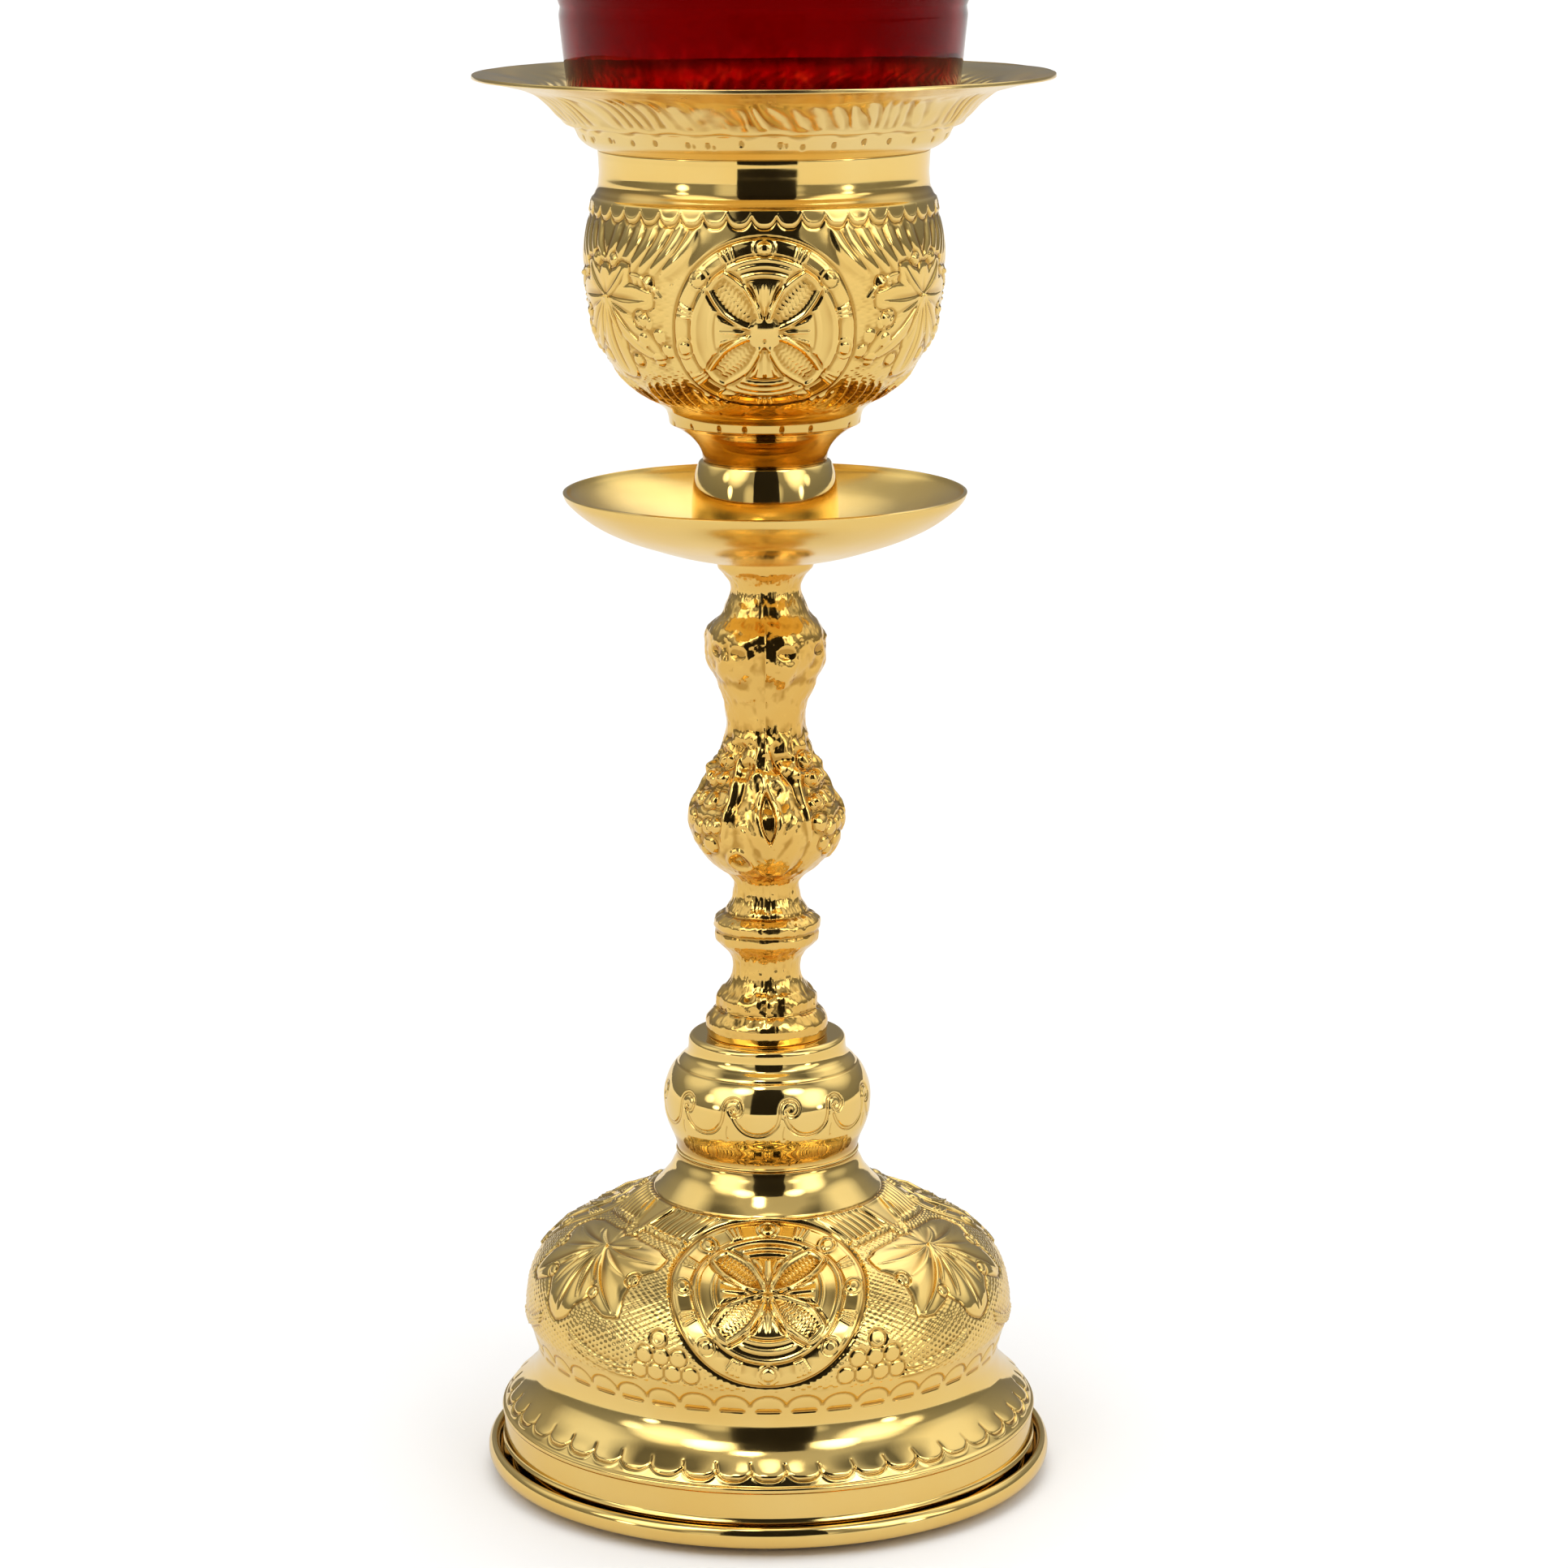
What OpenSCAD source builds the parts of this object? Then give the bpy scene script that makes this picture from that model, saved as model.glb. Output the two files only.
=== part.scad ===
// Standing sanctuary lamp: a spun and cast brass stand on a central tie rod, a loose red
// glass cup for oil in its rim, and a wick holder that hangs on the glass.
// Every outline is a list of [radius, height] points, in millimetres.

/* [Base] */
// Outer radius of the rolled edge of the bottom plate
foot_r = 45; // [44.6:0.1:47]
// Radius of the upright skirt of the dome
skirt_r = 42.4; // [41.5:0.1:42.6]
// Height of the upright skirt above the plate
skirt_h = 8.6; // [8:0.1:9]
// Largest radius of the embossed dome
dome_r = 38.6; // [37.5:0.1:39.5]
// Height of the top of the dome's neck
dome_top = 52; // [50:0.1:54]
// Radius of the neck between the dome and the knop
neck_r = 14.6; // [14:0.1:15.5]

/* [Stem] */
// Height of the spun knop
knop_h = 18.7; // [17.5:0.1:20]
// Largest radius of the knop
knop_r = 16.35; // [15.5:0.1:17]
// Height of the cast stem
stem_h = 76.3; // [72:0.1:80]
// Largest radius of the cast stem
stem_r = 12.0; // [11.5:0.1:13]

/* [Drip tray and bowl] */
// Radius of the drip tray's rim
tray_r = 31.3; // [30:0.1:33]
// Depth of the drip tray, underside to rim
tray_h = 10.1; // [9.6:0.1:11.5]
// Height of the barrel spacer between the tray and the bowl
spacer_h = 14.3; // [13.5:0.1:16]
// Largest radius of the embossed bowl
bowl_r = 27.5; // [27:0.1:28.5]
// Height of the bowl, foot to top edge
bowl_h = 47.6; // [46:0.1:49]
// Radius of the bowl's top edge, where the flared rim plugs in
mouth_r = 25.3; // [25.1:0.1:25.6]
// Radius of the flared rim
rim_r = 44.3; // [42:0.1:47]

/* [Glass and wick] */
// Outer radius of the glass cup's lip
lip_r = 34.2; // [33:0.1:36]
// Height of the lip above the seat that the glass rests on
lip_h = 51.5; // [46:0.5:60]
// Thickness of the glass wall
glass_wall = 2.3; // [1.8:0.1:2.4]
// Length of the wick below the holder
wick_drop = 26; // [15:1:40]

/* [Hidden] */

$fn = 96;
gold = "goldenrod";
steel = "silver";

sheet = 0.7;          // spun brass sheet
plate_sheet = 0.8;    // sheet of the bottom plate
fold = 0.01;          // leeway where the inner faces of a wall and a flat disc meet
hole_r = 3.2;         // clearance hole for the tie rod
bead_w = 0.95;        // half the width of the rolled edge
bead_h = 1.7;         // half its height
bead_z = 3;           // height of its middle
recess_z = 7.2;       // underside of the raised middle of the plate, which hides the nut
recess_r = 12.5;

knop_z = dome_top;
stem_z = knop_z + knop_h;
tray_z = stem_z + stem_h;
spacer_z = tray_z + sheet;
bowl_z = spacer_z + spacer_h;
rim_z = bowl_z + bowl_h;
rim_sheet = 0.6;
seat_z = rim_z + rim_sheet;   // inside face of the rim's step, which carries the glass
spigot_r = mouth_r - 1.1;
spigot_h = 5.9;

rod_r = 2.95;
thread_depth = 0.45;
thread_pitch = 1;
thread_h = 12;
rod_low = 0.7;
rod_high = bowl_z + 9.4;
washer_r = 6.4;
washer_h = 1.2;
nut_r = 5.75;         // M6 hexagon, across corners
nut_h = 4.2;
nut_hole_r = 3.05;

// A smooth curve through the points, with n steps between each two.
function blend_point(a, b, c, d, t) =
    0.5 * (2 * b + (c - a) * t + (2 * a - 5 * b + 4 * c - d) * t * t
           + (3 * b - a - 3 * c + d) * t * t * t);
function curve(p, n = 4) = let (last = len(p) - 1) concat(
    [for (i = [0:last - 1], k = [0:n - 1])
        blend_point(p[max(i - 1, 0)], p[i], p[i + 1], p[min(i + 2, last)], k / n)],
    [p[last]]);

// The points lifted by z.
function lift(p, z) = [for (q = p) [q[0], q[1] + z]];

// The other face of a sheet of thickness t. The path runs up the outside, or outwards underneath.
function side(a, b) = let (d = b - a) [d[1], -d[0]] / norm(d);
function mitre(m, n) = (m + n) / (1 + m * n);
function other_face(p, t) = let (last = len(p) - 1) [for (i = [0:last])
    p[i] - t * (i == 0 ? side(p[0], p[1])
                : i == last ? side(p[last - 1], p[last])
                : mitre(side(p[i - 1], p[i]), side(p[i], p[i + 1])))];
function reversed(p) = [for (i = [len(p) - 1:-1:0]) p[i]];

module turned(p) rotate_extrude() polygon(p);
// A closed sheet. Its inner face stays between the levels low and high, where a flat disc ends it.
module spun(p, t, low = -1, high = 999) turned(concat(p, reversed(
    [for (q = other_face(p, t)) if (q[1] > low && q[1] < high) q])));

// Bottom plate: a shallow pan with a raised middle and a rolled edge
module base_plate() {
    rise = curve([[recess_r, recess_z], [14.6, 6.2], [17, 3.4], [19.4, 0.9], [22, 0]]);
    under = concat([[hole_r, recess_z]], rise,
                   [[foot_r - 5, 0], [foot_r - 3.2, 0.5], [foot_r - 1.9, 1.2]]);
    bead = [for (a = [-75:15:180]) [foot_r - bead_w + bead_w * cos(a), bead_z + bead_h * sin(a)]];
    color(gold) turned(concat(under, bead, reversed(other_face(under, plate_sheet))));
}

// Cast iron ring that lies on the plate inside the dome
module ballast_ring() {
    ballast_in = 24;
    ballast_out = 38.5;
    ballast_h = 9;
    color("dimgray") turned([[ballast_in, plate_sheet], [ballast_out, plate_sheet],
                             [ballast_out, plate_sheet + ballast_h - 1.5],
                             [ballast_out - 1.5, plate_sheet + ballast_h],
                             [ballast_in, plate_sheet + ballast_h]]);
}

// Dome: tucked edge, upright skirt, bead, shoulder, cove, dome and neck, closed on top by a disc
module base_dome() {
    skirt_z = plate_sheet + skirt_h;
    tuck_r = skirt_r - 1.3;
    tuck = [[tuck_r, plate_sheet + 0.4], [tuck_r, 3.9], [skirt_r + 0.1, 4.5], [skirt_r + 0.35, 4.9],
            [skirt_r, 5.4]];
    bead = [for (a = [-90:30:90]) [skirt_r + 0.3 * cos(a), skirt_z + 0.5 * (1 + sin(a))]];
    profile = curve([
        [skirt_r - 0.2, skirt_z + 1.1], [skirt_r - 1.2, skirt_z + 2.5], [skirt_r - 2.7, skirt_z + 4],
        [skirt_r - 4, skirt_z + 5.4], [dome_r - 1.2, 16.4], [dome_r - 1.8, 18.6], [dome_r - 1.5, 20.8],
        [dome_r - 0.8, 23], [dome_r - 0.1, 25.4], [dome_r, 28], [dome_r - 0.5, 31],
        [dome_r - 1.5, 33.4], [dome_r - 3.7, 36.2], [dome_r - 7.3, 39], [dome_r - 11.4, 41],
        [dome_r - 15.5, 43], [neck_r + 4.6, dome_top - 6.8], [neck_r + 2.4, dome_top - 5],
        [neck_r + 0.8, dome_top - 3], [neck_r + 0.1, dome_top - 1.1], [neck_r, dome_top]]);
    color(gold) spun(concat(tuck, bead, profile, [[hole_r, dome_top]]), sheet,
                     high = dome_top - sheet + fold);
}

// Knop: a hollow ball with a stepped ledge on top that the stem stands on
module knop() {
    ledge_r = knop_r - 3.95;
    ball = curve(lift([[neck_r, 0], [knop_r - 0.75, 3.6], [knop_r - 0.05, 6.8], [knop_r - 0.05, 10],
                       [knop_r - 1.05, 12.8], [knop_r - 2.55, 14.7], [ledge_r + 0.4, 15.6],
                       [ledge_r + 0.05, 16.6], [ledge_r, 17.7]], knop_z));
    ledge = [for (a = [30:30:90]) [ledge_r - 0.9 + 0.9 * cos(a), stem_z - 0.9 + 0.9 * sin(a)]];
    color(gold) spun(concat(ball, ledge, [[hole_r, stem_z]]), sheet);
}

// Stem: one casting with a bore for the tie rod
module stem() {
    k = stem_h / 75.9;
    outline = curve([for (p = [
        [9.4, 0], [9.6, 1.4], [9.4, 2.8], [8.2, 4.3], [7.8, 5.2], [7.6, 6.4], [6.6, 7.6], [5.7, 9],
        [5.4, 10.6], [5.5, 12.2], [6.2, 13.5], [7.3, 14.6], [8.1, 16], [8.4, 17.4], [7.9, 18.7],
        [6.4, 20.2], [5.4, 21.6], [5.1, 23.2], [5.2, 24.8], [6.3, 26.1], [8.6, 27.6], [10.2, 29.5],
        [stem_r - 0.6, 31.6], [stem_r, 34.2], [stem_r - 0.4, 37], [10.3, 39.4], [9.1, 42.3],
        [7.8, 44.6], [7, 47.2], [6.5, 50], [6.5, 52.8], [7.2, 55], [8.4, 57.8], [9.2, 60],
        [9.4, 62], [9, 64.2], [8.2, 65.6], [6.9, 67], [6.3, 68.4], [5.5, 70.2], [5.5, 71.6],
        [6.4, 73.1], [7.4, 74.2], [7.6, 75.9]]) [p[0], stem_z + k * p[1]]], 3);
    color(gold) turned(concat([[hole_r, stem_z]], outline, [[hole_r, tray_z]]));
}

// Drip tray: a shallow dish
module drip_tray() {
    dish = curve([[11.4, 0], [14.4, 0.7], [18.2, 1.9], [22.2, 3.3], [26, 5.1], [28.8, 7],
                  [tray_r - 0.6, tray_h - 1.3], [tray_r, tray_h]]);
    color(gold) spun(concat([[hole_r, tray_z]], lift(dish, tray_z)), sheet);
}

// Spacer: a turned barrel that stands in the tray and carries the bowl
module barrel_spacer() {
    barrel = curve(lift([[11, 0], [11.35, 2.5], [11.4, 6.5], [11.25, 9.5], [10.9, 11.9],
                         [10.3, 13.9], [9.8, spacer_h]], spacer_z));
    color(gold) turned(concat([[hole_r, spacer_z]], barrel, [[hole_r, bowl_z]]));
}

// Bowl: trumpet foot, small band, and the embossed cup with a narrowed mouth
module bowl() {
    trumpet = curve(lift([[9.6, 0], [9.8, 1.4], [10.6, 2.8], [11.9, 4.1], [13.8, 5.4]], bowl_z));
    cup = curve(lift([[14.7, 5.8], [15, 7.4], [15.8, 8.5], [18.8, 10.5], [22.1, 13.4], [24.5, 16.8],
                      [26.2, 20.6], [27.1, 25.4], [bowl_r, 30.4], [27.2, 34.4], [26.5, 38.4],
                      [26.1, 40.6], [mouth_r + 0.1, 42.6], [mouth_r - 0.2, 44.6],
                      [mouth_r, bowl_h - 0.5]], bowl_z));
    color(gold) spun(concat([[hole_r, bowl_z]], trumpet, cup, [[mouth_r, rim_z]]), sheet,
                     low = bowl_z + sheet - fold);
}

// Flared rim: a spigot in the bowl's mouth, a step, a rounded band and a wide flare
module flared_rim() {
    band = curve(lift([[mouth_r, 0], [26.8, 0.7], [28, 1.7], [28.5, 2.7], [29, 3.5]], rim_z), 3);
    flare = curve(lift([[30.3, 4.1], [31.5, 5.3], [33.3, 7.2], [35, 8.5], [37.4, 9.4], [40.6, 10.2],
                        [rim_r, 10.8]], rim_z));
    color(gold) spun(concat([[spigot_r, rim_z - spigot_h], [spigot_r, rim_z]], band, flare), rim_sheet);
}

// Tie rod with a thread at each end
module tie_rod() {
    function thread(z) = [for (k = [0:2 * thread_h / thread_pitch - 1])
        [rod_r - thread_depth * (k % 2), z + k * thread_pitch / 2]];
    color(steel) turned(concat([[0, rod_low], [rod_r - 0.8, rod_low]], thread(rod_low + 0.5),
                               thread(rod_high - thread_h), [[rod_r - 0.8, rod_high], [0, rod_high]]));
}

module washer(z, h, r) color(steel) translate([0, 0, z]) difference() {
    cylinder(h = h, r = r);
    translate([0, 0, -1]) cylinder(h = h + 2, r = hole_r);
}

module nut(z) color(steel) translate([0, 0, z]) difference() {
    intersection() {
        cylinder(h = nut_h, r = nut_r, $fn = 6);
        // the bevel that takes the corners off both faces
        turned([[0, 0], [4.8, 0], [nut_r + 0.2, 0.6], [nut_r + 0.2, nut_h - 0.6],
                [4.8, nut_h], [0, nut_h]]);
    }
    translate([0, 0, -1]) cylinder(h = nut_h + 2, r = nut_hole_r);
}

spring_h = 1.4;
module base_washer() washer(recess_z - washer_h, washer_h, washer_r);
module base_spring_washer() difference() {
    washer(recess_z - washer_h - spring_h, spring_h, 5.2);
    translate([3, -0.5, recess_z - washer_h - spring_h - 1]) cube([4, 1, spring_h + 2]);
}
module base_nut() nut(recess_z - washer_h - spring_h - nut_h);
module bowl_washer() washer(bowl_z + sheet, washer_h, washer_r);
module bowl_nut() nut(bowl_z + sheet + washer_h);

// Glass cup: a stepped foot that drops into the rim, a bevelled shoulder and a flaring wall
foot_in = spigot_r - rim_sheet - 0.7;
floor_z = seat_z + 2.5;
shoulder = [29.5, 5.5];
module glass_cup() {
    outer = concat(
        [[foot_in - 0.8, seat_z - spigot_h], [foot_in, seat_z - spigot_h + 0.8], [foot_in, seat_z]],
        curve(lift([[24.6, 0], [26.9, 1.7], [28.6, 3.7], shoulder], seat_z)),
        [[lip_r, seat_z + lip_h - 1]]);
    lip = [for (a = [0:30:180])
        [lip_r - glass_wall / 2 + glass_wall / 2 * cos(a), seat_z + lip_h - 1 + sin(a)]];
    inner = concat(
        [[shoulder[0] - glass_wall, seat_z + shoulder[1] + 0.4]],
        curve([[shoulder[0] - glass_wall - 0.5, floor_z + 1.8], [shoulder[0] - glass_wall - 1.9, floor_z + 0.3],
               [shoulder[0] - glass_wall - 2.6, floor_z]]));
    punt = curve([[0, seat_z - spigot_h + 2.2], [12, seat_z - spigot_h + 1.8],
                  [foot_in - 3.4, seat_z - spigot_h]]);
    color([0.55, 0, 0.05, 0.6]) turned(concat(punt, outer, lip, inner, [[0, floor_z]]));
}

// Wick holder: a stamped hub with three arms that lie on the glass's lip and hook over it
holder_t = 0.8;
holder_z = seat_z + lip_h + 0.05;
tube_r = 1.9;
module wick_holder() {
    arm_w = 3.6;
    hook_r = lip_r + 0.4;
    hook_drop = 3;
    color(steel) difference() {
        union() {
            translate([0, 0, holder_z]) cylinder(h = holder_t, r = 6.5);
            for (a = [30, 150, 270]) rotate(a) {
                translate([3, -arm_w / 2, holder_z]) cube([hook_r + holder_t - 3, arm_w, holder_t]);
                translate([hook_r, -arm_w / 2, holder_z - hook_drop])
                    cube([holder_t, arm_w, hook_drop + holder_t]);
            }
        }
        translate([0, 0, holder_z - 1]) cylinder(h = holder_t + 2, r = tube_r + 0.05);
    }
}
module wick_tube() {
    wall = 0.4;
    above = 3.2;
    below = 6;
    flange_r = 3.2;
    top = holder_z + holder_t;
    color(steel) turned([[tube_r - wall, top - below], [tube_r, top - below], [tube_r, top],
                         [flange_r, top], [flange_r, top + 0.5], [tube_r, top + 0.5],
                         [tube_r, top + above], [tube_r - wall, top + above]]);
}
module wick() {
    wick_r = tube_r - 0.45;
    bare = 4.5;
    color("ivory") translate([0, 0, holder_z - wick_drop])
        cylinder(h = wick_drop + holder_t + 3.2 + bare, r = wick_r);
}

base_plate();
ballast_ring();
base_dome();
knop();
stem();
drip_tray();
barrel_spacer();
bowl();
flared_rim();
tie_rod();
base_washer();
base_spring_washer();
base_nut();
bowl_washer();
bowl_nut();
glass_cup();
wick_holder();
wick_tube();
wick();
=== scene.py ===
import math

import bpy
import numpy as np
from mathutils import Matrix


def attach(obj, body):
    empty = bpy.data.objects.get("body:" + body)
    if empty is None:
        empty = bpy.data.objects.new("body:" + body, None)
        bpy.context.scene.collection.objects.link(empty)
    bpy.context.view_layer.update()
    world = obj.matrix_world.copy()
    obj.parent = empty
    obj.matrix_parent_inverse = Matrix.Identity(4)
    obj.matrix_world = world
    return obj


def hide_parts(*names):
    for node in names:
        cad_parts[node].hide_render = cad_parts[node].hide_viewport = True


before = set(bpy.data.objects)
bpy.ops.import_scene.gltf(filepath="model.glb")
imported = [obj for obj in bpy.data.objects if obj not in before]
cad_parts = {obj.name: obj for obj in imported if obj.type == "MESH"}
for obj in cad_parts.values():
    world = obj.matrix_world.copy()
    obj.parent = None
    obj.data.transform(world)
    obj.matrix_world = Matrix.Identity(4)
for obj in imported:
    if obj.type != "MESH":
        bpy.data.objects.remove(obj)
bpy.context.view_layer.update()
scene = bpy.context.scene
MM = 0.001
SECTOR = 120  # degrees after which the stamped ornament repeats
LEAF = SECTOR // 2  # degrees from a medallion's middle to the leaf beside it
LOWEST_OUTER = (999, -999)  # a spot whose nearest corner is an outline's lowest and outermost
AT_AXIS = 0.05  # a radius below this is on the axis
SAME_CORNER = 0.03  # CAD points closer than this are one corner of the outline
STRAIGHT = 0.15  # degrees of bend too slight to be a corner
BEND_PER_ROW = math.radians(7)
FULL_GROOVE = 0.12  # depth below its surroundings at which a groove's painted shade is darkest
NOISE_ROWS, NOISE_START = 512, 37  # length of the noise table, and its row for distance 0
MEDALLION_DRAWN = 10.8  # radius of the inner ring for which the medallion's strokes are given


# ---- outlines from the CAD frame

def outline(name, start=LOWEST_OUTER):
    """A turned CAD node's outline as rows of (radius, height), anticlockwise from the corner nearest start, or from
    the lower pole to the upper."""
    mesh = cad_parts[name].data
    spots = np.array([v.co[:] for v in mesh.vertices]) / MM
    spots = np.c_[np.hypot(spots[:, 0], spots[:, 1]), spots[:, 2]]
    distinct, which = np.unique(spots.round(2), axis=0, return_inverse=True)
    corners, group = [], []
    for spot in distinct:
        match = [k for k, c in enumerate(corners) if abs(c - spot).max() < SAME_CORNER]
        if not match:
            corners.append(spot)
        group.append(match[0] if match else len(corners) - 1)
    group = np.array(group)[which.ravel()]
    links = {k: set() for k in range(len(corners))}
    for edge in mesh.edges:
        a, b = group[edge.vertices[0]], group[edge.vertices[1]]
        if a != b:
            links[a].add(b)
            links[b].add(a)
    poles = [k for k in links if corners[k][0] < AT_AXIS]
    order = [min(poles, key=lambda k: corners[k][1]) if poles else
             min(links, key=lambda k: abs(corners[k] - start).sum())]
    while True:
        ahead = [k for k in links[order[-1]] if k not in order]
        if not ahead:
            break
        order.append(ahead[0])
    path = np.array([corners[k] for k in order])
    if poles:
        return path
    area = np.sum(path[:, 0] * np.roll(path[:, 1], -1) - path[:, 1] * np.roll(path[:, 0], -1))
    if area < 0:
        path = np.r_[path[:1], path[:0:-1]]
    return np.r_[path, path[:1]]


def spline(points, step):
    """A smooth curve through the points, sampled about every step."""
    chord = np.hypot(*np.diff(points, axis=0).T)
    run = np.r_[0, np.cumsum(chord)]
    if len(points) < 3:
        slope = np.repeat((points[1:] - points[:1]) / run[-1], 2, axis=0)
    else:
        slope = np.gradient(points, run, axis=0, edge_order=2)
    at = np.linspace(0, run[-1], max(2, int(run[-1] / step) + 1))
    i = np.clip(np.searchsorted(run, at) - 1, 0, len(chord) - 1)
    h = chord[i][:, None]
    u = ((at - run[i]) / chord[i])[:, None]
    return ((2 * u ** 3 - 3 * u ** 2 + 1) * points[i] + (u ** 3 - 2 * u ** 2 + u) * slope[i] * h
            + (3 * u ** 2 - 2 * u ** 3) * points[i + 1] + (u ** 3 - u ** 2) * slope[i + 1] * h)


def eased(points):
    """The points with two more near the ends of each long straight, so that a spline keeps it straight."""
    length = np.hypot(*np.diff(points, axis=0).T)
    made = [points[0]]
    for k, whole in enumerate(length):
        a, b = points[k], points[k + 1]
        for near, share in ((k - 1, 0), (k + 1, 1)):
            if 0 <= near < len(length) and whole > 2.2 * length[near]:
                part = length[near] / whole
                made.append(a + (b - a) * (1 - part if share else part))
        made.append(b)
    return np.array(made)


def smoothed(path, rounding=0.12, sharp=38, step=0.04):
    """The outline with its smooth stretches splined and its sharp corners a little rounded."""
    ahead = np.diff(path, axis=0)
    turn = np.degrees(np.arctan2(ahead[:, 1], ahead[:, 0]))
    bend = abs((np.diff(turn) + 180) % 360 - 180)
    keep = np.r_[True, bend > STRAIGHT, True]
    path, bend = path[keep], np.r_[180, bend[keep[1:-1]], 180]
    cuts = np.flatnonzero(bend > sharp)
    runs = [spline(eased(path[a:b + 1]), step)[:-1] for a, b in zip(cuts, cuts[1:])]
    fine = np.concatenate(runs + [path[-1:]])
    reach = int(3 * rounding / step)
    blur = np.exp(-0.5 * (np.arange(-reach, reach + 1) * step / rounding) ** 2)
    blur /= blur.sum()
    closed = np.hypot(*(fine[0] - fine[-1])) < 1e-6
    if closed:
        padded = np.r_[fine[-reach - 1:-1], fine, fine[1:reach + 1]]
    else:
        padded = np.r_[2 * fine[:1] - fine[reach:0:-1], fine, 2 * fine[-1:] - fine[-2:-reach - 2:-1]]
    return np.stack([np.convolve(values, blur, "valid") for values in padded.T], 1)


def rows_along(fine, pitch):
    """Picks rows from a fine outline, pitch(height, radius) apart and closer round its bends."""
    step = np.hypot(*np.diff(fine, axis=0).T)
    turn = np.unwrap(np.arctan2(*np.diff(fine, axis=0).T[::-1]))
    bend = np.r_[0, abs(np.diff(turn))]
    middle = (fine[1:] + fine[:-1]) / 2
    weight = np.r_[0, np.cumsum(step / pitch(middle[:, 1], middle[:, 0]) + bend / BEND_PER_ROW)]
    at = np.linspace(0, weight[-1], int(weight[-1]) + 2)
    return np.c_[np.interp(at, weight, fine[:, 0]), np.interp(at, weight, fine[:, 1])]


# ---- relief on a turned surface

def bell(distance, width):
    """The rounded cross-section of a chased line, 1 in its middle."""
    return np.exp(-(distance / (0.6 * width)) ** 2)


def step_up(value, width):
    """0 below zero, 1 above width, smooth between."""
    t = np.clip(value / width, 0, 1)
    return t * t * (3 - 2 * t)


def between(value, low, high, soft_low, soft_high):
    """1 between low and high, and 0 outside them, with soft ends."""
    return step_up(value - low, soft_low) * step_up(high - value, soft_high)


def bezier(points, count=9):
    """Points along the quadratic curve set by three points, or the points themselves if not three."""
    if len(points) != 3:
        return np.array(points, float)
    a, b, c = np.array(points, float)
    t = np.linspace(0, 1, count)[:, None]
    return (1 - t) ** 2 * a + 2 * t * (1 - t) * b + t * t * c


class Relief:
    """A height field over a turned surface, in mm, that repeats round the lamp."""

    def __init__(self, along, radius, columns, period=SECTOR):
        self.period = period
        self.share = int(columns * period / 360)
        self.degrees = (np.arange(self.share) / columns * 360)[None, :]
        self.along = along[:, None]
        self.radius = radius[:, None]
        self.height = np.zeros((len(along), self.share))

    def band(self, low, high):
        """The rows between two distances along the outline, as a slice."""
        inside = np.flatnonzero((self.along[:, 0] >= low) & (self.along[:, 0] <= high))
        return slice(inside[0], inside[-1] + 1) if len(inside) else slice(0, 0)

    def local(self, rows, place, period=None):
        """How far each point lies east and north of a place (degrees, along), in mm."""
        period = period or self.period
        turn = (self.degrees - place[0] + period / 2) % period - period / 2
        return np.radians(turn) * self.radius[rows], self.along[rows] - place[1] + 0 * turn

    def radius_at(self, along):
        return float(np.interp(along, self.along[:, 0], self.radius[:, 0]))

    def near_line(self, points, margin, period):
        """The rows round a polyline, each point's distance from it, and its share (0 to 1) of the way along it."""
        rows = self.band(points[:, 1].min() - margin, points[:, 1].max() + margin)
        best = np.full(self.height[rows].shape, 1e9)
        run = np.zeros_like(best)
        for k, (a, b) in enumerate(zip(points, points[1:])):
            x, y = self.local(rows, a, period)
            dx = np.radians(b[0] - a[0]) * self.radius[rows]
            dy = b[1] - a[1]
            t = np.clip((x * dx + y * dy) / (dx * dx + dy * dy), 0, 1)
            away = np.hypot(x - t * dx, y - t * dy)
            run = np.where(away < best, (k + t) / (len(points) - 1), run)
            best = np.minimum(best, away)
        return rows, best, run

    def line(self, points, width, height, taper=False, period=None, gap=0):
        """A ridge, or a groove if height is negative, along a polyline or a three-point curve. A gap makes it two."""
        rows, away, run = self.near_line(bezier(points), 2 * max(width, gap), period)
        wide = width * (0.25 + 0.75 * np.sin(np.pi * np.clip(run, 0.02, 0.98)) ** 0.6) if taper else width
        self.height[rows] += height * bell(away - gap / 2, wide) * (wide / width)

    def pairs(self, centre, curves):
        """Lines that mirror each other about centre degrees. Each curve is its points, width, height and taper."""
        for side in (-1, 1):
            for points, *size in curves:
                self.line([(centre + side * a, s) for a, s in points], *size)

    def ring(self, place, radius, width, height):
        rows = self.band(place[1] - radius - 2 * width, place[1] + radius + 2 * width)
        self.height[rows] += height * bell(np.hypot(*self.local(rows, place)) - radius, width)

    def boss(self, place, radius, height, flatten=1):
        """A rounded bump, flatten times as tall as it is wide."""
        rows = self.band(place[1] - radius, place[1] + radius)
        x, y = self.local(rows, place)
        inside = np.clip(1 - (x ** 2 + (y / flatten) ** 2) / radius ** 2, 0, 1)
        self.height[rows] += height * inside ** 0.6

    def around(self):
        """The height of every point of every row, all the way round."""
        return np.tile(self.height, (1, int(360 / self.period)))


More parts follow.
